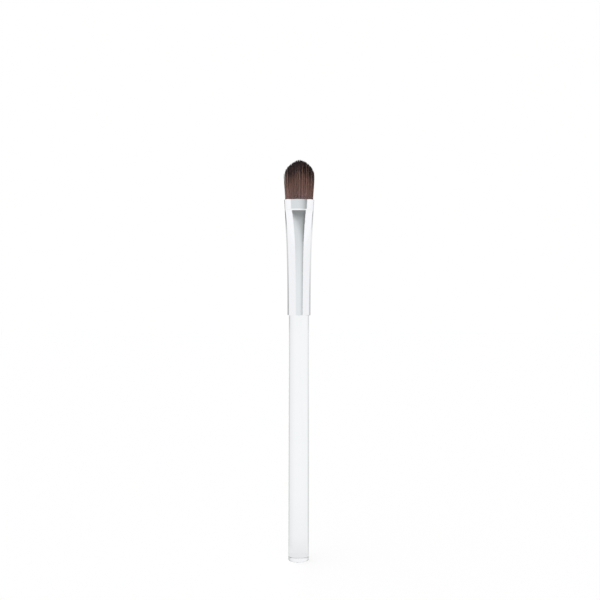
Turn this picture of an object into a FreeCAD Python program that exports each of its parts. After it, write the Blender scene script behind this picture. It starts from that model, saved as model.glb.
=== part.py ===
import FreeCAD, Part
import math
import os

# Eyeshadow brush standing on its butt. +Z runs from the butt to the hair tip, the width of the
# flat tuft lies along X and its flat faces look along -Y and +Y. All sizes are in millimetres.

# Handle: one moulded rod of clear acrylic
handle_reach = 97.8  # butt face to the heel of the ferrule
grip_diameter = 8.2  # straight grip above the butt
neck_diameter = 8.05  # straight neck that runs into the ferrule
grip_length = 38.0  # straight grip, from the butt face
taper_length = 38.0  # from the grip in to the neck
butt_edge_radius = 0.1  # deburred edge round the butt face
tenon_length = 16.0  # length of neck glued inside the ferrule
tenon_lead_in = 0.6  # chamfer on the tenon's end
glue_groove_count = 3
glue_groove_width = 1.2
glue_groove_depth = 0.25

# Ferrule: thin aluminium tube, drawn wider towards the mouth and pressed flat there
ferrule_wall = 0.4
glue_gap = 0.2  # between the tenon and the tube
barrel_length = 24.2  # heel to the shoulder where the flattening starts
press_length = 17.6  # shoulder to the crease
band_height = 4.5  # crease to the mouth rim
mouth_width = 12.0
mouth_thickness = 5.6
flare_power = 2.2  # 1 would widen evenly, more keeps the barrel straight for longer
crease_depth = 0.12  # groove left by the edge of the press die
crease_height = 0.6  # upper wall of that groove
rim_break = 0.1  # dulled edge at both ends of the tube
flat_half_angle = 25.0  # half the angle of each flat arc of the oval, in degrees
press_stations = (0, 1 / 3, 2 / 3, 1)  # shares of the press where its form is set

# Hair: a knot of synthetic filaments, root to tip
hair_fit = 0.05  # room between the hair and the pressed band
hair_reach = 16.2  # mouth rim to the highest tip
belly_height = 9.6  # mouth rim to the widest place
belly_width = 12.1
belly_thickness = 5.6
dome_front_power = 0.6  # 0.5 would be an ellipse, more is more pointed
dome_side_power = 0.7
belly_stations = (0, 0.35, 0.7, 1)  # shares of the way from the mouth to the belly
dome_stations = (0, 0.25, 0.45, 0.62, 0.77, 0.89, 0.97)  # closer where the dome turns over
root_depth = 17.0  # hair held below the mouth rim
knot_height = 4.0  # round, tied stretch at the roots

# Tie and resin that hold the hair in the ferrule
thread_diameter = 0.3
thread_pitch = 0.75
thread_turns = 4
thread_clearance = 0.02
resin_skin = 0.15  # resin between the thread and the tube
resin_backing = 3.0  # solid resin behind the roots
resin_stop = 3.0  # free space between the resin and the crease

# Levels along the brush
heel_z = handle_reach
shoulder_z = heel_z + barrel_length
crease_z = shoulder_z + press_length
mouth_z = crease_z + band_height
tip_z = mouth_z + hair_reach
belly_z = mouth_z + belly_height
root_z = mouth_z - root_depth
knot_top_z = root_z + knot_height
tenon_end_z = heel_z + tenon_length

# Radii that follow from the fits
grip_radius = grip_diameter / 2
neck_radius = neck_diameter / 2
heel_radius = neck_radius + glue_gap + ferrule_wall
crease_half_thickness = mouth_thickness / 2 - crease_depth

# Cutting tools run past the faces that they cut by this much
overrun = 1.0


def point(x, y, z):
    return FreeCAD.Vector(x, y, z)


def oval(half_width, half_thickness, z):
    """Closed wire of four tangent arcs: two flat ones across Y and two tight ones at the X ends."""
    angle = math.radians(flat_half_angle)
    shift = (half_width - half_thickness) / (math.sin(angle) + math.cos(angle) - 1)
    end_radius = half_thickness - shift * (1 - math.cos(angle))
    joint_x = shift * math.sin(angle) + end_radius * math.sin(angle)
    joint_y = end_radius * math.cos(angle)
    right = point(half_width, 0, z)
    left = point(-half_width, 0, z)
    front = point(0, -half_thickness, z)
    back = point(0, half_thickness, z)
    right_front = point(joint_x, -joint_y, z)
    right_back = point(joint_x, joint_y, z)
    left_front = point(-joint_x, -joint_y, z)
    left_back = point(-joint_x, joint_y, z)
    arcs = [
        Part.Arc(right_front, right, right_back),
        Part.Arc(right_back, back, left_back),
        Part.Arc(left_back, left, left_front),
        Part.Arc(left_front, front, right_front),
    ]
    return Part.Wire([arc.toShape() for arc in arcs])


def ferrule_half_width(z):
    """The tube widens along one long curve, which leaves the heel upright."""
    rise = min(max((z - heel_z) / (mouth_z - heel_z), 0), 1)
    return heel_radius + (mouth_width / 2 - heel_radius) * rise**flare_power


def ferrule_half_thickness(z):
    """Full up to the shoulder, a cubic sweep in to the crease, then the groove and the flat band."""
    if z >= crease_z:
        rise = min((z - crease_z) / crease_height, 1)
        return crease_half_thickness + crease_depth * rise
    rise = max((z - shoulder_z) / press_length, 0)
    return heel_radius - (heel_radius - crease_half_thickness) * rise**3


def ferrule_section(z, inset):
    return oval(ferrule_half_width(z) - inset, ferrule_half_thickness(z) - inset, z)


def loft(sections, ruled):
    return Part.makeLoft(sections, True, ruled)


def fused(solids):
    joined = solids[0]
    for solid in solids[1:]:
        joined = joined.fuse(solid)
    return joined.removeSplitter()


def drawn_tube(inset, lowest_z):
    """The smooth stretch of the tube, from lowest_z over the shoulder to the crease, as a solid."""
    barrel_levels = (lowest_z, (lowest_z + shoulder_z) / 2, shoulder_z)
    press_levels = [shoulder_z + press_length * share for share in press_stations]
    barrel = loft([ferrule_section(z, inset) for z in barrel_levels], False)
    press = loft([ferrule_section(z, inset) for z in press_levels], False)
    return barrel.fuse(press)


def make_cavity():
    """The space inside the ferrule, run past both of its ends."""
    mouth = ferrule_section(mouth_z, ferrule_wall)
    past_mouth = mouth.copy()
    past_mouth.translate(point(0, 0, overrun))
    band = [ferrule_section(z, ferrule_wall) for z in (crease_z, crease_z + crease_height)]
    below_heel = Part.makeCylinder(heel_radius - ferrule_wall, overrun, point(0, 0, heel_z - overrun))
    tube = drawn_tube(ferrule_wall, heel_z)
    return fused([below_heel, tube, loft(band + [mouth, past_mouth], True)])


def make_ferrule(cavity):
    heel_edge = [ferrule_section(heel_z, rim_break), ferrule_section(heel_z + rim_break, 0)]
    band = [ferrule_section(z, 0) for z in (crease_z, crease_z + crease_height, mouth_z - rim_break)]
    band.append(ferrule_section(mouth_z, rim_break))
    tube = drawn_tube(0, heel_z + rim_break)
    return fused([loft(heel_edge, True), tube, loft(band, True)]).cut(cavity)


def make_handle():
    """Half outline of the rod, turned about the brush's axis, less the glue grooves."""
    round_mid = butt_edge_radius * (1 - math.sqrt(0.5))
    edge_start = point(grip_radius - butt_edge_radius, 0, 0)
    edge_middle = point(grip_radius - round_mid, 0, round_mid)
    edge_end = point(grip_radius, 0, butt_edge_radius)
    corners = [
        edge_end,
        point(grip_radius, 0, grip_length),
        point(neck_radius, 0, grip_length + taper_length),
        point(neck_radius, 0, tenon_end_z - tenon_lead_in),
        point(neck_radius - tenon_lead_in, 0, tenon_end_z),
        point(0, 0, tenon_end_z),
        point(0, 0, 0),
        edge_start,
    ]
    edges = [Part.Arc(edge_start, edge_middle, edge_end).toShape()]
    edges += [Part.LineSegment(a, b).toShape() for a, b in zip(corners, corners[1:])]
    rod = Part.Face(Part.Wire(edges)).revolve(point(0, 0, 0), point(0, 0, 1), 360)
    groove_spacing = tenon_length / (glue_groove_count + 1)
    for number in range(1, glue_groove_count + 1):
        groove_z = heel_z + number * groove_spacing - glue_groove_width / 2
        base = point(0, 0, groove_z)
        ring = Part.makeCylinder(neck_radius + overrun, glue_groove_width, base)
        ring = ring.cut(Part.makeCylinder(neck_radius - glue_groove_depth, glue_groove_width, base))
        rod = rod.cut(ring)
    return rod


def slab(lowest_z, highest_z):
    side = 2 * (mouth_width + overrun)
    corner = point(-side / 2, -side / 2, lowest_z)
    return Part.makeBox(side, side, highest_z - lowest_z, corner)


def knot_radius():
    """The tied roots leave room for the thread and a skin of resin inside the tube."""
    room = ferrule_half_thickness(knot_top_z) - ferrule_wall
    return room - resin_skin - thread_diameter - 2 * thread_clearance


def make_hair():
    """Round tied knot, throat that spreads to the oval band, then the belly and the domed tip."""
    knot = Part.makeCylinder(knot_radius(), knot_height, point(0, 0, root_z))
    held = ferrule_wall + hair_fit
    throat = [oval(knot_radius(), knot_radius(), knot_top_z)]
    throat += [ferrule_section(z, held) for z in (crease_z, crease_z + crease_height, mouth_z)]
    mouth_half_width = ferrule_half_width(mouth_z) - held
    mouth_half_thickness = ferrule_half_thickness(mouth_z) - held
    belly = []
    for share in belly_stations:
        swell = math.sin(share * math.pi / 2)
        half_width = mouth_half_width + (belly_width / 2 - mouth_half_width) * swell
        half_thickness = mouth_half_thickness + (belly_thickness / 2 - mouth_half_thickness) * swell
        belly.append(oval(half_width, half_thickness, mouth_z + belly_height * share))
    dome = []
    for share in dome_stations:
        close = 1 - share**2
        half_width = belly_width / 2 * close**dome_front_power
        half_thickness = belly_thickness / 2 * close**dome_side_power
        dome.append(oval(half_width, half_thickness, belly_z + (tip_z - belly_z) * share))
    dome.append(Part.Vertex(0, 0, tip_z))
    return fused([knot, loft(throat, True), loft(belly, False), loft(dome, False)])


def winding_radius():
    return knot_radius() + thread_clearance + thread_diameter / 2


def winding_points():
    """Ends and middles of the half turns of the thread, a quarter turn apart."""
    start_z = root_z + (knot_height - thread_turns * thread_pitch) / 2
    points = []
    for quarter in range(4 * thread_turns + 1):
        angle = quarter * math.pi / 2
        x = winding_radius() * math.cos(angle)
        y = winding_radius() * math.sin(angle)
        points.append(point(x, y, start_z + quarter * thread_pitch / 4))
    return points


def make_thread():
    """One thread wound round the knot, swept along half turns that meet tangentially."""
    points = winding_points()
    halves = zip(points[0::2], points[1::2], points[2::2])
    path = Part.Wire([Part.Arc(a, b, c).toShape() for a, b, c in halves])
    section = Part.Wire(Part.makeCircle(thread_diameter / 2, points[0], point(0, 1, 0)))
    sweep = Part.BRepOffsetAPI.MakePipeShell(path)
    sweep.add(section)
    sweep.build()
    sweep.makeSolid()
    per_turn = 60
    samples = path.discretize(per_turn * thread_turns)
    gaps = [a.distanceToPoint(b) for i, a in enumerate(samples) for b in samples[i + per_turn // 2 :]]
    print("least gap between turns of the thread:", round(min(gaps) - thread_diameter, 3))
    return sweep.shape()


def make_resin(cavity, hair):
    """Fills the tube round the roots, behind them and round the wound thread."""
    poured = cavity.common(slab(root_z - resin_backing, crease_z - resin_stop))
    wound_radius = winding_radius() + thread_diameter / 2 + thread_clearance
    wound_space = Part.makeCylinder(wound_radius, knot_height, point(0, 0, root_z))
    return poured.cut(hair).cut(wound_space)


def make_adhesive(cavity, handle):
    """Film of glue round the tenon, keyed into its grooves."""
    return cavity.common(slab(heel_z + rim_break, tenon_end_z - tenon_lead_in)).cut(handle)


def main():
    cavity = make_cavity()
    handle = make_handle()
    hair = make_hair()
    pieces = {
        "handle": handle,
        "tenon_adhesive": make_adhesive(cavity, handle),
        "ferrule": make_ferrule(cavity),
        "root_resin": make_resin(cavity, hair),
        "binding_thread": make_thread(),
        "hair_tuft": hair,
    }
    os.makedirs("parts", exist_ok=True)
    for name, shape in pieces.items():
        print(name, "valid", shape.isValid(), "solids", len(shape.Solids), "mm3", round(shape.Volume, 1))
        shape.exportStep(os.path.join("parts", name + ".step"))


main()
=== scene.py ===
import math

import bmesh
import bpy
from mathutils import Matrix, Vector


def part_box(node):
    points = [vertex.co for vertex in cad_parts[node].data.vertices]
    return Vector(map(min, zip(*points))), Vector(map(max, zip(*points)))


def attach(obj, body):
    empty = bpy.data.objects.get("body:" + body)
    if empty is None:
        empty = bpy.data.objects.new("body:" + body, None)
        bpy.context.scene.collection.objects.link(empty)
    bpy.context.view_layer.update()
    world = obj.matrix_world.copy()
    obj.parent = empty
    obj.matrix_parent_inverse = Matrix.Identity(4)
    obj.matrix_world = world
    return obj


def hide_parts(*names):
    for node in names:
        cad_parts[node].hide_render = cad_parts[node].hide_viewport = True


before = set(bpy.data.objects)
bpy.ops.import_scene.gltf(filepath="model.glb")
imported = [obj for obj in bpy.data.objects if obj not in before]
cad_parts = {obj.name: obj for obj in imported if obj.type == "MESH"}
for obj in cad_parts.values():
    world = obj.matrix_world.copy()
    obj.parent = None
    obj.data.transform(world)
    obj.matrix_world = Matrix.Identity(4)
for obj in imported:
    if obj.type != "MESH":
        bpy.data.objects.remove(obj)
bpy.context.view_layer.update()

# Handle
# A solid rod of clear cast acrylic, turned to a slight taper and polished. The brush stands on its
# flat butt, which is satin at the rim. Its neck runs on inside the ferrule as a tenon with grooves
# for the glue.

mm = 0.001
handle_low, handle_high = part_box("handle")
ferrule_low, ferrule_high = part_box("ferrule")
grip_radius = handle_high.x
grip_length = 38 * mm
taper_length = 38 * mm
neck_radius = 4.025 * mm
butt_edge_radius = 0.1 * mm
butt_edge_steps = 8
butt_face_radius = grip_radius - butt_edge_radius
flat_margin = 0.03 * mm
tenon_step = 0.01 * mm
tenon_length = handle_high.z - ferrule_low.z
tenon_radius = neck_radius - tenon_step
tenon_lead_in = 0.6 * mm
glue_groove_count = 3
glue_groove_width = 1.2 * mm
glue_groove_depth = 0.25 * mm
handle_sides = 144
seam_gap = 0.001 * mm
sharp_edge = math.radians(30)


def lathe(name, outline, sides):
    """A closed mesh: pairs of radius and height, from the bottom up, turned about the Z axis."""
    form = bmesh.new()
    points = [form.verts.new((radius, 0, height)) for radius, height in outline]
    for lower, upper in zip(points, points[1:]):
        form.edges.new((lower, upper))
    bmesh.ops.spin(
        form,
        geom=form.verts[:] + form.edges[:],
        cent=(0, 0, 0),
        axis=(0, 0, 1),
        angle=math.tau,
        steps=sides,
        use_merge=True,
    )
    bmesh.ops.remove_doubles(form, verts=form.verts[:], dist=seam_gap)
    bmesh.ops.recalc_face_normals(form, faces=form.faces[:])
    mesh = bpy.data.meshes.new(name)
    form.to_mesh(mesh)
    form.free()
    mesh.shade_smooth()
    mesh.set_sharp_from_angle(angle=sharp_edge)
    return mesh


rod_outline = [(0, handle_low.z), (butt_face_radius - flat_margin, handle_low.z)]
for step in range(butt_edge_steps + 1):
    turn = math.pi / 2 * step / butt_edge_steps
    rod_outline.append(
        (
            butt_face_radius + butt_edge_radius * math.sin(turn),
            handle_low.z + butt_edge_radius * (1 - math.cos(turn)),
        )
    )
rod_outline.append((grip_radius, handle_low.z + butt_edge_radius + flat_margin))
rod_outline.append((grip_radius, handle_low.z + grip_length))
rod_outline.append((neck_radius, handle_low.z + grip_length + taper_length))
rod_outline.append((neck_radius, ferrule_low.z))
for number in range(1, glue_groove_count + 1):
    middle = ferrule_low.z + tenon_length * number / (glue_groove_count + 1)
    for side, depth in ((-1, 0), (-1, glue_groove_depth), (1, glue_groove_depth), (1, 0)):
        rod_outline.append((tenon_radius - depth, middle + side * glue_groove_width / 2))
rod_outline.append((tenon_radius, handle_high.z - tenon_lead_in))
rod_outline.append((tenon_radius - tenon_lead_in, handle_high.z))
rod_outline.append((0, handle_high.z))


def link_or_set(tree, socket, value):
    """Feeds a node's socket with another socket, or with a plain value."""
    if isinstance(value, bpy.types.NodeSocket):
        tree.links.new(value, socket)
    else:
        socket.default_value = value


def set_inputs(tree, node, **inputs):
    """Feeds a node's inputs, whose names have spaces for underscores."""
    for name, value in inputs.items():
        link_or_set(tree, node.inputs[name.replace("_", " ")], value)


def add_node(tree, kind, settings=None, **inputs):
    """Adds a node with its settings and its inputs."""
    node = tree.nodes.new(kind)
    for name, value in (settings or {}).items():
        setattr(node, name, value)
    set_inputs(tree, node, **inputs)
    return node


def calculate(tree, operation, *values):
    """Adds a Math node and gives its result."""
    node = tree.nodes.new("ShaderNodeMath")
    node.operation = operation
    for socket, value in zip(node.inputs, values):
        link_or_set(tree, socket, value)
    return node.outputs["Value"]


def blended(tree, share, first, second):
    """Mixes two colours, the second in the given share."""
    node = add_node(tree, "ShaderNodeMix", {"data_type": "RGBA"}, Factor=share)
    link_or_set(tree, node.inputs[6], first)
    link_or_set(tree, node.inputs[7], second)
    return node.outputs[2]


def spread(tree, value, low, high, to_low, to_high):
    """Carries a range of values over to another, held at its ends."""
    node = add_node(tree, "ShaderNodeMapRange", Value=value)
    for name, limit in (("From Min", low), ("From Max", high), ("To Min", to_low), ("To Max", to_high)):
        link_or_set(tree, node.inputs[name], limit)
    return node.outputs["Result"]


def own_place(tree):
    """Where a point is on its piece."""
    return tree.nodes.new("ShaderNodeTexCoord").outputs["Object"]


def add_relief(tree, shader, height, strength, depth):
    """Gives a material's surface fine relief."""
    relief = add_node(tree, "ShaderNodeBump", Strength=strength, Distance=depth, Height=height)
    set_inputs(tree, shader, Normal=relief.outputs["Normal"])


def new_material(name):
    """A material with only its surface shader, and that shader."""
    material = bpy.data.materials.new(name)
    material.use_nodes = True
    tree = material.node_tree
    tree.nodes.clear()
    shader = tree.nodes.new("ShaderNodeBsdfPrincipled")
    output = tree.nodes.new("ShaderNodeOutputMaterial")
    tree.links.new(shader.outputs["BSDF"], output.inputs["Surface"])
    return material, tree, shader


# Values of a noise that count as none and as full, and how much finer lines are across than along
noise_range = (0.3, 0.7)
patch_range = (0.35, 0.68)
line_thinning = 0.01


def polishing_marks():
    """A shared finish: fine lines along the brush, and soft patches left by handling."""
    group = bpy.data.node_groups.new("polishing_marks", "ShaderNodeTree")
    for name in ("Lines per metre", "Patches per metre"):
        group.interface.new_socket(name, in_out="INPUT", socket_type="NodeSocketFloat")
    for name in ("Lines", "Patches"):
        group.interface.new_socket(name, in_out="OUTPUT", socket_type="NodeSocketFloat")
    given = group.nodes.new("NodeGroupInput").outputs
    results = group.nodes.new("NodeGroupOutput").inputs
    place = own_place(group)
    drawn_out = add_node(group, "ShaderNodeMapping", Vector=place, Scale=(1, 1, line_thinning))
    lines = add_node(
        group,
        "ShaderNodeTexNoise",
        Vector=drawn_out.outputs["Vector"],
        Scale=given["Lines per metre"],
        Detail=3.0,
        Roughness=0.6,
    )
    patches = add_node(
        group,
        "ShaderNodeTexNoise",
        Vector=place,
        Scale=given["Patches per metre"],
        Detail=4.0,
        Roughness=0.55,
    )
    group.links.new(spread(group, lines.outputs["Fac"], *noise_range, 0.0, 1.0), results["Lines"])
    group.links.new(spread(group, patches.outputs["Fac"], *patch_range, 0.0, 1.0), results["Patches"])
    return group


marks_group = polishing_marks()
acrylic_clean = (0.972, 0.986, 1.0, 1)
acrylic_handled = (0.962, 0.978, 0.992, 1)
acrylic_roughness = (0.006, 0.03)
satin_rim_width = 1.4 * mm
satin_rim_roughness = 0.3
acrylic, tree, shader = new_material("clear_acrylic")
marks = add_node(
    tree, "ShaderNodeGroup", {"node_tree": marks_group}, Lines_per_metre=2500.0, Patches_per_metre=120.0
)
spot = add_node(tree, "ShaderNodeSeparateXYZ", Vector=own_place(tree)).outputs
out_squared = calculate(tree, "MULTIPLY_ADD", spot["X"], spot["X"], calculate(tree, "POWER", spot["Y"], 2.0))
in_rim = calculate(tree, "GREATER_THAN", out_squared, (grip_radius - satin_rim_width) ** 2)
at_butt = calculate(tree, "LESS_THAN", spot["Z"], handle_low.z + butt_edge_radius)
satin_rim = calculate(tree, "MULTIPLY", in_rim, at_butt)
polish = spread(tree, marks.outputs["Patches"], 0, 1, *acrylic_roughness)
set_inputs(
    tree,
    shader,
    Base_Color=blended(tree, marks.outputs["Patches"], acrylic_clean, acrylic_handled),
    Roughness=calculate(tree, "MULTIPLY_ADD", satin_rim, satin_rim_roughness, polish),
    IOR=1.49,
    Transmission_Weight=1,
)
add_relief(tree, shader, marks.outputs["Lines"], strength=0.05, depth=0.002 * mm)


def new_piece(name, mesh, material=None):
    """Puts a finished mesh in the scene as an object of its own."""
    if material:
        mesh.materials.append(material)
    piece = bpy.data.objects.new(name, mesh)
    bpy.context.scene.collection.objects.link(piece)
    return piece


rod = new_piece("handle_rod", lathe("handle_rod", rod_outline, handle_sides), acrylic)
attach(rod, "root")
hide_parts("handle")

# Glue round the tenon
# A thin film of clear adhesive that fills the gap between the tenon and the tube, keyed into the
# grooves. Air caught while the handle was pushed in leaves it slightly cloudy.

glue_clear = (0.86, 0.86, 0.83, 1)
glue_cloudy = (0.66, 0.66, 0.63, 1)
glue_roughness = (0.2, 0.45)


def dress(node, material):
    """Gives a frame node its finished material."""
    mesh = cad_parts[node].data
    mesh.materials.clear()
    mesh.materials.append(material)


adhesive, tree, shader = new_material("clear_adhesive")
cloud = add_node(tree, "ShaderNodeTexNoise", Vector=own_place(tree), Scale=900.0, Detail=5.0).outputs["Fac"]
set_inputs(
    tree,
    shader,
    Base_Color=blended(tree, cloud, glue_clear, glue_cloudy),
    Roughness=spread(tree, cloud, *noise_range, *glue_roughness),
)
dress("tenon_adhesive", adhesive)

# Ferrule
# One thin aluminium tube, drawn, polished bright, and pressed from round to a flat oval at the
# mouth, with a crease at the edge of the die. It is pushed over the tenon and holds the hair.

aluminium_bright = (0.925, 0.928, 0.935, 1)
aluminium_lined = (0.9, 0.905, 0.915, 1)
aluminium_roughness = (0.035, 0.07)
line_roughness = 0.02
aluminium, tree, shader = new_material("polished_aluminium")
marks = add_node(
    tree, "ShaderNodeGroup", {"node_tree": marks_group}, Lines_per_metre=9000.0, Patches_per_metre=260.0
)
smear = spread(tree, marks.outputs["Patches"], 0, 1, *aluminium_roughness)
set_inputs(
    tree,
    shader,
    Base_Color=blended(tree, marks.outputs["Lines"], aluminium_bright, aluminium_lined),
    Roughness=calculate(tree, "MULTIPLY_ADD", marks.outputs["Lines"], line_roughness, smear),
    Metallic=1,
)
add_relief(tree, shader, marks.outputs["Lines"], strength=0.08, depth=0.004 * mm)

# The tube's mesh is in thin facets whose normals waver up and down, which a mirror finish would show
evening_passes = 10
steepest_lean = 0.4
same_surface = math.cos(math.radians(5))


def evened_normals(mesh):
    """A normal for each point: it heads as before, and leans as its neighbours do on the average."""
    normals = [None] * len(mesh.vertices)
    for corner in mesh.loops:
        normals[corner.vertex_index] = mesh.corner_normals[corner.index].vector.copy()
    pairs = [tuple(edge.vertices) for edge in mesh.edges]
    first_at = {}
    for point in mesh.vertices:
        spot = tuple(round(value / seam_gap) for value in point.co)
        first = first_at.setdefault(spot, point.index)
        if first != point.index:
            pairs.append((first, point.index))
    pairs = [(one, other) for one, other in pairs if normals[one].dot(normals[other]) > same_surface]
    leans = [normal.z for normal in normals]
    for _ in range(evening_passes):
        sums = list(leans)
        counts = [1] * len(leans)
        for one, other in pairs:
            sums[one] += leans[other]
            sums[other] += leans[one]
            counts[one] += 1
            counts[other] += 1
        leans = [total / count for total, count in zip(sums, counts)]
    for normal, lean in zip(normals, leans):
        if abs(normal.z) < steepest_lean:
            level_share = math.sqrt(1 - lean * lean) / math.hypot(normal.x, normal.y)
            normal.xyz = (normal.x * level_share, normal.y * level_share, lean)
    return normals


def merge_points(mesh, normals):
    """Joins a mesh of loose triangles, and keeps the given normal of each point."""
    form = bmesh.new()
    form.from_mesh(mesh)
    carried = form.loops.layers.float_vector.new("carried_normal")
    for face in form.faces:
        for corner in face.loops:
            corner[carried] = normals[corner.vert.index]
    bmesh.ops.remove_doubles(form, verts=form.verts[:], dist=seam_gap)
    form.to_mesh(mesh)
    form.free()
    mesh.shade_smooth()
    carried = mesh.attributes["carried_normal"]
    mesh.normals_split_custom_set([tuple(item.vector) for item in carried.data])
    mesh.attributes.remove(carried)


tube_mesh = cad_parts["ferrule"].data.copy()
tube_mesh.name = "ferrule_tube"
tube_mesh.materials.clear()
merge_points(tube_mesh, evened_normals(tube_mesh))
tube = new_piece("ferrule_tube", tube_mesh, aluminium)
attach(tube, "root")
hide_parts("ferrule")

# Resin at the roots
# Epoxy poured round the tied roots before the tuft is pulled into the ferrule. It has set hard and
# amber, with faint swirls and small bubbles.

resin_light = (0.55, 0.36, 0.13, 1)
resin_dark = (0.38, 0.22, 0.07, 1)
resin_roughness = (0.15, 0.35)
resin, tree, shader = new_material("amber_resin")
place = own_place(tree)
bubbles = add_node(tree, "ShaderNodeTexVoronoi", Vector=place, Scale=1800.0)
swirl = add_node(
    tree, "ShaderNodeTexNoise", Vector=place, Scale=400.0, Detail=4.0, Distortion=0.8
).outputs["Fac"]
set_inputs(
    tree,
    shader,
    Base_Color=blended(tree, swirl, resin_light, resin_dark),
    Roughness=spread(tree, swirl, *noise_range, *resin_roughness),
)
add_relief(tree, shader, bubbles.outputs["Distance"], strength=0.3, depth=0.02 * mm)
dress("root_resin", resin)

# Tie thread
# One length of twisted cotton, wound tightly round the roots of the hair to make them a knot that
# can be handled. The resin sets round it.

# Painted shade: the plies are coloured darker in the grooves between them and lighter on their crowns,
# besides their relief.
thread_painted_groove_shade = (0.48, 0.43, 0.35, 1)
thread_lit_crown = (0.78, 0.74, 0.64, 1)
ply_angle = math.radians(35)
thread, tree, shader = new_material("tie_thread")
twist = add_node(tree, "ShaderNodeMapping", Vector=own_place(tree), Rotation=(0, ply_angle, 0))
plies = add_node(
    tree,
    "ShaderNodeTexWave",
    {"wave_type": "BANDS", "bands_direction": "X"},
    Vector=twist.outputs["Vector"],
    Scale=2600.0,
    Distortion=2.0,
    Detail=2.0,
).outputs["Fac"]
set_inputs(tree, shader, Base_Color=blended(tree, plies, thread_painted_groove_shade, thread_lit_crown), Roughness=0.85)
add_relief(tree, shader, plies, strength=0.6, depth=0.03 * mm)
dress("binding_thread", thread)

# Hair
# Some five thousand synthetic filaments with fine tapered tips, dyed dark at their ends. They are
# cupped into a flat dome and held by the roots, so that they spread a little above the mouth.

_, tuft_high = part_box("hair_tuft")
bundle_seed = 11
bundle_sizes = {
    "Mouth level": ferrule_high.z,
    "Mouth half width": 5.5 * mm,
    "Mouth half thickness": 2.3 * mm,
    "Belly half width": tuft_high.x,
    "Belly half thickness": 2.8 * mm,
    "Belly height": 9.6 * mm,
    "Tip height": tuft_high.z - ferrule_high.z,
    "Root depth": 1.5 * mm,
    "Filament radius": 0.045 * mm,
    "Filament spacing": 0.063 * mm,
    "Clump size": 0.75 * mm,
    "Streak size": 0.55 * mm,
    "Clump pull": 0.3,
    "Ragged ends": 0.6 * mm,
    "Stray bend": 0.12 * mm,
}
dome_front_draw = 0.03
dome_side_draw = 0.15
dome_left_power = 0.68
dome_right_power = 0.82
dome_left_end = -0.1
dome_right_start = 0.3
candidates_per_place = 4.0
tip_taper = 0.5
tip_taper_power = 6.0
least_cone_share = 0.02
streak_gain = 2.0
streak_share = 0.9
dye_follows_outline = 0.3

bundle = bpy.data.node_groups.new("filament_bundle", "GeometryNodeTree")
bundle.interface.new_socket("Filaments", in_out="OUTPUT", socket_type="NodeSocketGeometry")
bundle_sockets = {}
for name in bundle_sizes:
    bundle_sockets[name] = bundle.interface.new_socket(
        name, in_out="INPUT", socket_type="NodeSocketFloat"
    ).identifier
seed_socket = bundle.interface.new_socket("Seed", in_out="INPUT", socket_type="NodeSocketInt").identifier
given = bundle.nodes.new("NodeGroupInput").outputs


def figure(operation, *values):
    """One step of arithmetic in the bundle's tree."""
    return calculate(bundle, operation, *values)


def axes(vector):
    """A vector's three numbers in the bundle's tree."""
    return add_node(bundle, "ShaderNodeSeparateXYZ", Vector=vector).outputs


# Roots, scattered evenly over the oval of the mouth, and the clump and streak that each belongs to
disc = add_node(bundle, "GeometryNodeMeshCircle", {"fill_type": "NGON"}, Vertices=96, Radius=1.0)
oval_size = add_node(
    bundle, "ShaderNodeCombineXYZ", X=given["Mouth half width"], Y=given["Mouth half thickness"], Z=1.0
)
oval_bed = add_node(
    bundle,
    "GeometryNodeTransform",
    Geometry=disc.outputs["Mesh"],
    Scale=oval_size.outputs["Vector"],
)
place_area = figure("MULTIPLY", given["Filament spacing"], given["Filament spacing"])
roots = add_node(
    bundle,
    "GeometryNodeDistributePointsOnFaces",
    {"distribute_method": "POISSON"},
    Mesh=oval_bed.outputs["Geometry"],
    Distance_Min=given["Filament spacing"],
    Density_Max=figure("DIVIDE", candidates_per_place, place_area),
    Seed=given["Seed"],
)
position = bundle.nodes.new("GeometryNodeInputPosition").outputs["Position"]
streaks = add_node(
    bundle,
    "ShaderNodeTexVoronoi",
    {"voronoi_dimensions": "1D"},
    W=axes(position)["X"],
    Scale=figure("DIVIDE", 1.0, given["Streak size"]),
)
clumps = add_node(
    bundle,
    "ShaderNodeTexVoronoi",
    {"voronoi_dimensions": "2D"},
    Vector=position,
    Scale=figure("DIVIDE", 1.0, given["Clump size"]),
)
luck = add_node(bundle, "FunctionNodeRandomValue", {"data_type": "FLOAT_VECTOR"}, Seed=given["Seed"])
luck.inputs[0].default_value = (-1, -1, 0)
shade = add_node(bundle, "FunctionNodeRandomValue", Seed=figure("ADD", given["Seed"], 1.0))
kept = bundle.nodes.new("GeometryNodeCaptureAttribute")
bundle.links.new(roots.outputs["Points"], kept.inputs["Geometry"])
for name, kind, source in (
    ("Root", "VECTOR", position),
    ("Clump", "VECTOR", clumps.outputs["Position"]),
    ("Streak", "FLOAT", figure("MULTIPLY", streaks.outputs["Distance"], streak_gain)),
    ("Luck", "VECTOR", luck.outputs[0]),
    ("Shade", "FLOAT", shade.outputs[1]),
):
    kept.capture_items.new(kind, name)
    bundle.links.new(source, kept.inputs[name])

# One slim three-sided filament on each root, a metre high until it is shaped
filament = add_node(
    bundle,
    "GeometryNodeMeshCone",
    {"fill_type": "NGON"},
    Vertices=3,
    Side_Segments=6,
    Radius_Top=0.0,
    Radius_Bottom=given["Filament radius"],
    Depth=1.0,
)
spin_angle = figure("MULTIPLY", kept.outputs["Shade"], math.tau)
spin = add_node(bundle, "FunctionNodeAxisAngleToRotation", Axis=(0, 0, 1), Angle=spin_angle)
planted = add_node(
    bundle,
    "GeometryNodeInstanceOnPoints",
    Points=kept.outputs["Geometry"],
    Instance=filament.outputs["Mesh"],
    Rotation=spin.outputs["Rotation"],
)
grown = add_node(bundle, "GeometryNodeRealizeInstances", Geometry=planted.outputs["Instances"])

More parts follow.
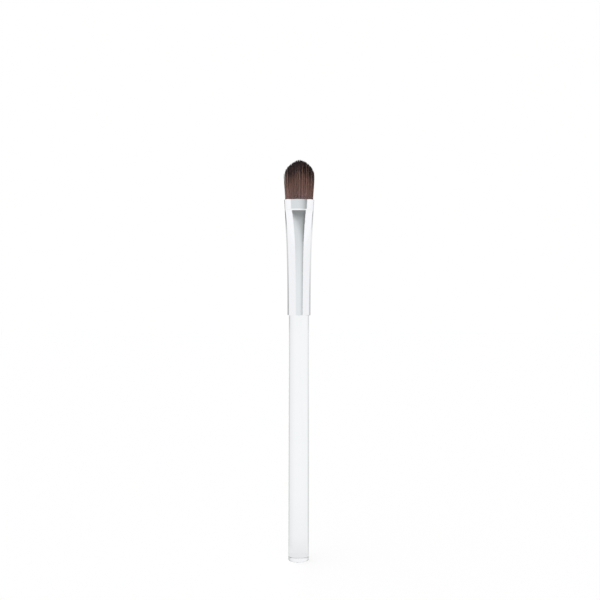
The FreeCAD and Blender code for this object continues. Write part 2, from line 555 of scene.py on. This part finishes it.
# Each filament's length, from the dome that all the tips make together
here = axes(position)
root = axes(kept.outputs["Root"])
clump = axes(kept.outputs["Clump"])
chance = axes(kept.outputs["Luck"])
to_go = figure("SUBTRACT", 1.0, here["Z"])
along = figure("SUBTRACT", 1.0, figure("MULTIPLY", to_go, to_go))
across = figure("DIVIDE", root["X"], given["Mouth half width"])
deep = figure("DIVIDE", root["Y"], given["Mouth half thickness"])
out_squared = figure("MULTIPLY_ADD", across, across, figure("MULTIPLY", deep, deep))
dome_power = spread(bundle, across, dome_left_end, dome_right_start, dome_left_power, dome_right_power)
closing = figure("SUBTRACT", 1.0, figure("POWER", figure("MINIMUM", out_squared, 1.0), dome_power))
dome_height = figure("SUBTRACT", given["Tip height"], given["Belly height"])
full_tip = figure("MULTIPLY_ADD", dome_height, figure("SQRT", closing), given["Belly height"])
lost = figure("MULTIPLY", given["Ragged ends"], figure("POWER", chance["Z"], 2.0))
tip = figure("SUBTRACT", full_tip, lost)
length = figure("ADD", tip, given["Root depth"])
height = figure("SUBTRACT", figure("MULTIPLY", along, length), given["Root depth"])

# The bundle swells to its belly, and draws in a little towards the tip
rise = figure("DIVIDE", height, given["Belly height"])
rise = figure("MAXIMUM", figure("MINIMUM", rise, 1.0), 0.0)
swell = figure("SINE", figure("MULTIPLY", rise, math.pi / 2))
above = figure("DIVIDE", figure("SUBTRACT", height, given["Belly height"]), dome_height)
above = figure("MAXIMUM", above, 0.0)
above_squared = figure("MULTIPLY", above, above)


def half_size(mouth, belly, draw):
    """Half the bundle's width or thickness at a filament's present height."""
    growth = figure("MULTIPLY", figure("SUBTRACT", given[belly], given[mouth]), swell)
    kept_share = figure("MULTIPLY_ADD", above_squared, -draw, 1.0)
    return figure("MULTIPLY", figure("ADD", given[mouth], growth), kept_share)


bend = figure("MULTIPLY", along, along)
pull = figure("MULTIPLY", given["Clump pull"], bend)
fineness = figure("SUBTRACT", 1.0, figure("MULTIPLY", tip_taper, figure("POWER", along, tip_taper_power)))
fineness = figure("DIVIDE", fineness, figure("MAXIMUM", to_go, least_cone_share))


def shaped(axis, mouth, belly, draw):
    """Where a point of a filament ends up along one axis."""
    gathered = figure("MULTIPLY_ADD", figure("SUBTRACT", clump[axis], root[axis]), pull, root[axis])
    share = figure("DIVIDE", gathered, given[mouth])
    centre = figure("MULTIPLY", share, half_size(mouth, belly, draw))
    stray = figure("MULTIPLY", figure("MULTIPLY", chance[axis], given["Stray bend"]), bend)
    skin = figure("MULTIPLY", figure("SUBTRACT", here[axis], root[axis]), fineness)
    return figure("ADD", figure("ADD", centre, stray), skin)


shaped_place = add_node(
    bundle,
    "ShaderNodeCombineXYZ",
    X=shaped("X", "Mouth half width", "Belly half width", dome_front_draw),
    Y=shaped("Y", "Mouth half thickness", "Belly half thickness", dome_side_draw),
    Z=figure("ADD", height, given["Mouth level"]),
)

# What the dye, the painted shade and the painted reflection follow: each filament's own shade, and how far a
# point is below the dome's outline
own_shade = figure("MULTIPLY", kept.outputs["Shade"], 1 - streak_share)
shade_mixed = figure("MULTIPLY_ADD", kept.outputs["Streak"], streak_share, own_shade)
outline_closing = figure("SUBTRACT", 1.0, figure("POWER", figure("MULTIPLY", across, across), dome_power))
outline = figure("MULTIPLY_ADD", dome_height, figure("SQRT", outline_closing), given["Belly height"])
dye_level = figure("MULTIPLY", given["Tip height"], 1 - dye_follows_outline)
dye_level = figure("MULTIPLY_ADD", outline, dye_follows_outline, dye_level)
below_top = figure("SUBTRACT", dye_level, height)
noted = grown.outputs["Geometry"]
for name, value in (("below_top", below_top), ("filament_shade", shade_mixed)):
    note = add_node(bundle, "GeometryNodeStoreNamedAttribute", Geometry=noted, Name=name, Value=value)
    noted = note.outputs["Geometry"]
bent = add_node(bundle, "GeometryNodeSetPosition", Geometry=noted, Position=shaped_place.outputs["Vector"])
smooth = add_node(bundle, "GeometryNodeSetShadeSmooth", Geometry=bent.outputs["Geometry"])

tip_dye = (0.04, 0.02, 0.019, 1)
body_brown = (0.38, 0.21, 0.163, 1)
# Painted reflection: the hair lowest below the top, by the ferrule's mouth, is coloured lighter and purpler,
# standing in for light from the metal.
painted_rim_reflection_brown = (0.41, 0.247, 0.226, 1)
# Partly tone and partly painted shade: filaments in the dark lines of the streaks are mixed towards near
# black, for darker filaments and for the shadowed gaps between clumps.
tone_and_shade_brown = (0.036, 0.019, 0.018, 1)
tone_and_shade_depth = 0.55
dye_range = (3.9 * mm, 9.5 * mm)
dye_stagger = 2.6 * mm
stagger_range = (0.1, 0.9)
rim_reflection_range = (11.0 * mm, 15.0 * mm)
hair_roughness = (0.36, 0.52)
hair, tree, shader = new_material("brown_filament")
below_top = add_node(tree, "ShaderNodeAttribute", {"attribute_name": "below_top"}).outputs["Fac"]
shade = add_node(tree, "ShaderNodeAttribute", {"attribute_name": "filament_shade"}).outputs["Fac"]
dye_shift = spread(tree, shade, *stagger_range, -dye_stagger, dye_stagger)
body_share = spread(tree, calculate(tree, "ADD", below_top, dye_shift), *dye_range, 0.0, 1.0)
rim_reflection_share = spread(tree, below_top, *rim_reflection_range, 0.0, 1.0)
hair_tint = blended(tree, body_share, tip_dye, blended(tree, rim_reflection_share, body_brown, painted_rim_reflection_brown))
tone_and_shade_share = calculate(tree, "MULTIPLY", calculate(tree, "SUBTRACT", 1.0, shade), tone_and_shade_depth)
set_inputs(
    tree,
    shader,
    Base_Color=blended(tree, tone_and_shade_share, hair_tint, tone_and_shade_brown),
    Roughness=spread(tree, shade, 0, 1, *hair_roughness),
    Specular_IOR_Level=0.4,
)
finished = add_node(
    bundle, "GeometryNodeSetMaterial", Geometry=smooth.outputs["Geometry"], Material=hair
)
bundle_output = bundle.nodes.new("NodeGroupOutput")
bundle.links.new(finished.outputs["Geometry"], bundle_output.inputs["Filaments"])

tuft = new_piece("hair_filaments", bpy.data.meshes.new("hair_bed"))
growth = tuft.modifiers.new("filament_bundle", "NODES")
growth.node_group = bundle
for name, size in bundle_sizes.items():
    growth[bundle_sockets[name]] = size
growth[seed_socket] = bundle_seed
evaluated = bpy.context.evaluated_depsgraph_get()
grown_mesh = bpy.data.meshes.new_from_object(
    tuft.evaluated_get(evaluated), preserve_all_data_layers=True, depsgraph=evaluated
)
tuft.modifiers.clear()
tuft.data = grown_mesh
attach(tuft, "root")
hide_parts("hair_tuft")

# Studio
# A white table and a white surround, with a grey camera side, grey flags behind the brush that give
# the bright tube and the clear rod their edges, and a level camera just above the ferrule's heel.

scene = bpy.context.scene
scene.view_settings.view_transform = "Standard"
white = (1, 1, 1, 1)
camera_turn = math.radians(-2)


def grey_ramp(tree, position, stops, tint=(1, 1, 1)):
    """A ramp of tinted greys: stops are pairs of a place from 0 to 1 and a brightness."""
    node = tree.nodes.new("ShaderNodeValToRGB")
    tree.links.new(position, node.inputs["Fac"])
    elements = node.color_ramp.elements
    while len(elements) < len(stops):
        elements.new(0.5)
    for element, (place, level) in zip(elements, stops):
        element.position = place
        element.color = [level * share for share in tint] + [1]
    return node.outputs["Color"]


def turned(degrees):
    """Place on a ramp of a direction so far to the right of the camera, seen from the brush."""
    return degrees / 360 + 0.5


def raised(degrees):
    """Place on a ramp of a direction so far above the horizon."""
    return degrees / 180 + 0.5


def by_turn(tree, turn, stops):
    """A grey ramp round the brush: stops are pairs of degrees to the right and a brightness."""
    return grey_ramp(tree, turn, [(turned(degrees), level) for degrees, level in stops])


def by_height(tree, height, stops, tint=(1, 1, 1)):
    """A grey ramp up the walls: stops are pairs of degrees above the horizon and a brightness."""
    return grey_ramp(tree, height, [(raised(degrees), level) for degrees, level in stops], tint)


def turn_of(tree, spot):
    """How far round a point or a direction is, as a place on a ramp."""
    angle = calculate(tree, "ARCTAN2", spot["X"], calculate(tree, "MULTIPLY", spot["Y"], -1.0))
    return calculate(tree, "MULTIPLY_ADD", angle, 1 / math.tau, 0.5)


def soft_surround():
    """How bright the studio is in each direction from the brush.

    Clear is 1 for light that has come through the rod, and Soft is 1 for light on matt pieces.
    """
    group = bpy.data.node_groups.new("soft_surround", "ShaderNodeTree")
    group.interface.new_socket("Direction", in_out="INPUT", socket_type="NodeSocketVector")
    for name in ("Clear", "Soft"):
        group.interface.new_socket(name, in_out="INPUT", socket_type="NodeSocketFloat")
    group.interface.new_socket("Brightness", in_out="OUTPUT", socket_type="NodeSocketColor")
    given = group.nodes.new("NodeGroupInput").outputs
    unit = add_node(group, "ShaderNodeVectorMath", {"operation": "NORMALIZE"})
    group.links.new(given["Direction"], unit.inputs[0])
    towards = add_node(
        group,
        "ShaderNodeVectorRotate",
        {"rotation_type": "Z_AXIS"},
        Vector=unit.outputs["Vector"],
        Angle=-camera_turn,
    )
    spot = add_node(group, "ShaderNodeSeparateXYZ", Vector=towards.outputs["Vector"]).outputs
    turn = turn_of(group, spot)
    height = calculate(group, "MULTIPLY_ADD", calculate(group, "ARCSINE", spot["Z"]), 1 / math.pi, 0.5)

    # Walls as polished pieces show them, brighter higher up
    wall_tint = (0.992, 0.992, 1.01)
    wall_level = by_height(group, height, [(2, 0.985), (5, 1.01), (7.5, 1.05)], wall_tint)

    # Grey flags behind that draw the edges of polished pieces, darkest where the mouth mirrors them
    flag_left_foot = [(-4, 0.54), (-1, 0.47), (0.3, 0.55), (1.3, 0.62)]
    flag_left_middle = [(3.6, 0.73), (4.6, 0.66), (5.3, 0.2), (6, 0.16)]
    flag_right_foot = [(-4, 0.6), (0.3, 0.63), (1.3, 0.74)]
    flag_right_middle = [(3.6, 0.91), (4.6, 0.87), (5.3, 0.62), (6, 0.52)]
    flag_top = [(7.1, 0.1), (8, 0.1), (9, 0.4), (14, 0.66), (25, 0.6), (34, 0.4), (44, 0.3)]
    left_flag = by_height(group, height, flag_left_foot + flag_left_middle + flag_top)
    right_flag = by_height(group, height, flag_right_foot + flag_right_middle + flag_top)
    flag_side = by_turn(group, turn, [(-180, 0.5), (-150, 0), (-1, 0), (1, 1), (150, 1), (180, 0.5)])
    flag_mask = by_turn(group, turn, [(-122, 1), (-118, 0), (118, 0), (122, 1)])
    flag_level = blended(group, flag_side, left_flag, right_flag)
    bright_walls = blended(group, flag_mask, wall_level, flag_level)

    # Walls as seen through the rod, nearly white behind it and greyer to the sides
    clear_left = [(-160, 0.945), (-142, 0.935), (-130, 0.88), (-125, 0.72), (-85, 0.72), (-75, 1.0)]
    clear_right = [(75, 1.0), (85, 0.6), (127, 0.6), (133, 0.85), (145, 0.88), (160, 0.93), (168, 0.945)]
    clear_walls = by_turn(group, turn, clear_left + clear_right)

    # Light on the hair, weaker from the right
    soft_walls = by_turn(group, turn, [(-130, 1.1), (-60, 1.75), (0, 0.85), (40, 0.35), (90, 0.1)])

    # Camera side, grey and darker above, where the dark comes lower on the right
    front_tint = (0.96, 1.0, 1.015)
    front_foot = [(-5, 0.868), (-0.6, 0.875), (0.8, 0.885), (3.1, 0.825), (5, 0.78)]
    left_top = [(17, 0.765), (25, 0.7), (28.7, 0.54), (34.4, 0.29), (39, 0.22), (44, 0.2)]
    right_top = [(8.5, 0.72), (12, 0.64), (17, 0.57), (28.7, 0.46), (34.4, 0.31), (44, 0.265)]
    front_left = by_height(group, height, front_foot + left_top, front_tint)
    front_right = by_height(group, height, front_foot + right_top, front_tint)
    slant_middle = raised(22)
    slant = 0.7
    over_middle = calculate(group, "SUBTRACT", height, slant_middle)
    to_right = calculate(group, "MULTIPLY_ADD", over_middle, slant, turn)
    right_mask = by_turn(group, to_right, [(-22, 0), (-5, 0.5), (10, 1)])
    front_level = blended(group, right_mask, front_left, front_right)

    # A darker strip at the right end of the camera side
    strip_foot = [(-2, 0.62), (3, 0.5), (7.4, 0.42), (7.9, 0.24)]
    strip_top = [(9, 0.34), (15, 0.25), (34, 0.17), (40, 0.25)]
    strip_level = by_height(group, height, strip_foot + strip_top, front_tint)
    strip_mask = by_turn(group, turn, [(2, 0), (14, 0.15), (24, 0.5), (31, 1)])
    front = blended(group, strip_mask, front_level, strip_level)
    front_mask = by_turn(group, turn, [(-32, 0), (-31, 1), (35.6, 1), (36.6, 0)])

    overhead_mask = by_height(group, height, [(52, 0), (62, 1)])
    walls = blended(group, given["Clear"], bright_walls, clear_walls)
    walls = blended(group, front_mask, walls, front)
    walls = blended(group, overhead_mask, walls, white)
    whole = blended(group, given["Soft"], walls, soft_walls)
    group_output = group.nodes.new("NodeGroupOutput")
    group.links.new(whole, group_output.inputs["Brightness"])
    return group


surround_group = soft_surround()


def mixed_shader(tree, share, first, second):
    """Mixes two shaders, the second in the given share."""
    node = add_node(tree, "ShaderNodeMixShader", Fac=share)
    tree.links.new(first.outputs[0], node.inputs[1])
    tree.links.new(second.outputs[0], node.inputs[2])
    return node


# Table: white to the camera, with the brush's faint shadow, and toned for clear and bright pieces, whose
# glossy and transmission rays see a glow with a painted shadow, darker near the brush
table_reach = 2.0
table_drop = 0.2 * mm
table_white = (0.9, 0.9, 0.9, 1)
table_seen_strength = 1.07
table_shadow_share = 0.2
table_shade_reach = 0.2
front_right_grey = (0.76, 0.77, 0.78, 1)
corners = [(-1, -1), (1, -1), (1, 1), (-1, 1)]
table_mesh = bpy.data.meshes.new("table")
table_mesh.from_pydata(
    [(x * table_reach, y * table_reach, -table_drop) for x, y in corners], [], [(0, 1, 2, 3)]
)
white_table = bpy.data.materials.new("white_table")
white_table.use_nodes = True
tree = white_table.node_tree
tree.nodes.clear()
matte = add_node(tree, "ShaderNodeBsdfDiffuse", Color=table_white)
seen_white = add_node(tree, "ShaderNodeEmission", Color=white, Strength=table_seen_strength)
table_place = own_place(tree)
light_path = tree.nodes.new("ShaderNodeLightPath").outputs
surround = add_node(
    tree,
    "ShaderNodeGroup",
    {"node_tree": surround_group},
    Direction=table_place,
    Clear=light_path["Is Transmission Ray"],
)
away = add_node(tree, "ShaderNodeVectorMath", {"operation": "LENGTH"})
tree.links.new(table_place, away.inputs[0])
# Painted shadow: the glow is darkened close to the brush.
near_shade = grey_ramp(
    tree,
    calculate(tree, "DIVIDE", away.outputs["Value"], table_shade_reach),
    [(0, 0.855), (0.06, 0.895), (0.15, 0.955), (0.5, 0.992), (1, 1)],
)
table_spot = add_node(tree, "ShaderNodeSeparateXYZ", Vector=table_place).outputs
table_turn = turn_of(tree, table_spot)
far_right = grey_ramp(tree, table_spot["X"], [(0.04, 0), (0.2, 1), (0.28, 1), (0.3, 0)])
in_front = by_turn(tree, table_turn, [(85, 1), (95, 0)])
front_right = calculate(tree, "MULTIPLY", far_right, in_front)
polished_level = blended(tree, front_right, white, front_right_grey)
right_behind = by_turn(tree, table_turn, [(120, 0), (132, 1), (165, 1), (180, 0)])
behind_level = grey_ramp(
    tree, away.outputs["Value"], [(0.1, 0.42), (0.3, 0.5), (0.5, 0.7), (1, 0.9)]
)
polished_level = blended(tree, right_behind, polished_level, behind_level)
table_level = blended(
    tree, light_path["Is Transmission Ray"], polished_level, surround.outputs["Brightness"]
)
mirrored = add_node(tree, "ShaderNodeEmission", Color=blended(tree, near_shade, (0, 0, 0, 1), table_level))
seen_share = calculate(tree, "MULTIPLY", light_path["Is Camera Ray"], 1 - table_shadow_share)
glassy_ray = calculate(tree, "MAXIMUM", light_path["Is Glossy Ray"], light_path["Is Transmission Ray"])
plain = mixed_shader(tree, seen_share, matte, seen_white)
table_surface = mixed_shader(tree, glassy_ray, plain, mirrored)
output = tree.nodes.new("ShaderNodeOutputMaterial")
tree.links.new(table_surface.outputs[0], output.inputs["Surface"])
table = new_piece("table", table_mesh, white_table)

# Surround: the walls, flags and grey camera side, all white where the camera looks past the brush
world = bpy.data.worlds.new("studio")
scene.world = world
world.use_nodes = True
tree = world.node_tree
tree.nodes.clear()
look = tree.nodes.new("ShaderNodeTexCoord").outputs["Generated"]
light_path = tree.nodes.new("ShaderNodeLightPath").outputs
surround = add_node(
    tree,
    "ShaderNodeGroup",
    {"node_tree": surround_group},
    Direction=look,
    Clear=light_path["Is Transmission Ray"],
    Soft=light_path["Is Diffuse Ray"],
)
lighting = add_node(tree, "ShaderNodeBackground", Color=surround.outputs["Brightness"])
backdrop = add_node(tree, "ShaderNodeBackground", Color=white)
sky = mixed_shader(tree, light_path["Is Camera Ray"], lighting, backdrop)
output = tree.nodes.new("ShaderNodeOutputWorld")
tree.links.new(sky.outputs[0], output.inputs["Surface"])

# Camera: close, level, and two degrees round to the left of the brush's flat face
camera_roll = math.radians(-0.107)
camera_distance = 290 * mm
camera_aside = 0.4 * mm
camera_height = 103.9 * mm
camera_data = bpy.data.cameras.new("camera")
camera_data.lens = 43.4
camera_data.sensor_width = 36
camera_data.clip_start = 10 * mm
camera = bpy.data.objects.new("camera", camera_data)
camera.location = (
    camera_aside * math.cos(camera_turn) + camera_distance * math.sin(camera_turn),
    camera_aside * math.sin(camera_turn) - camera_distance * math.cos(camera_turn),
    camera_height,
)
camera.rotation_euler = (math.radians(90), camera_roll, camera_turn)
scene.collection.objects.link(camera)
scene.camera = camera
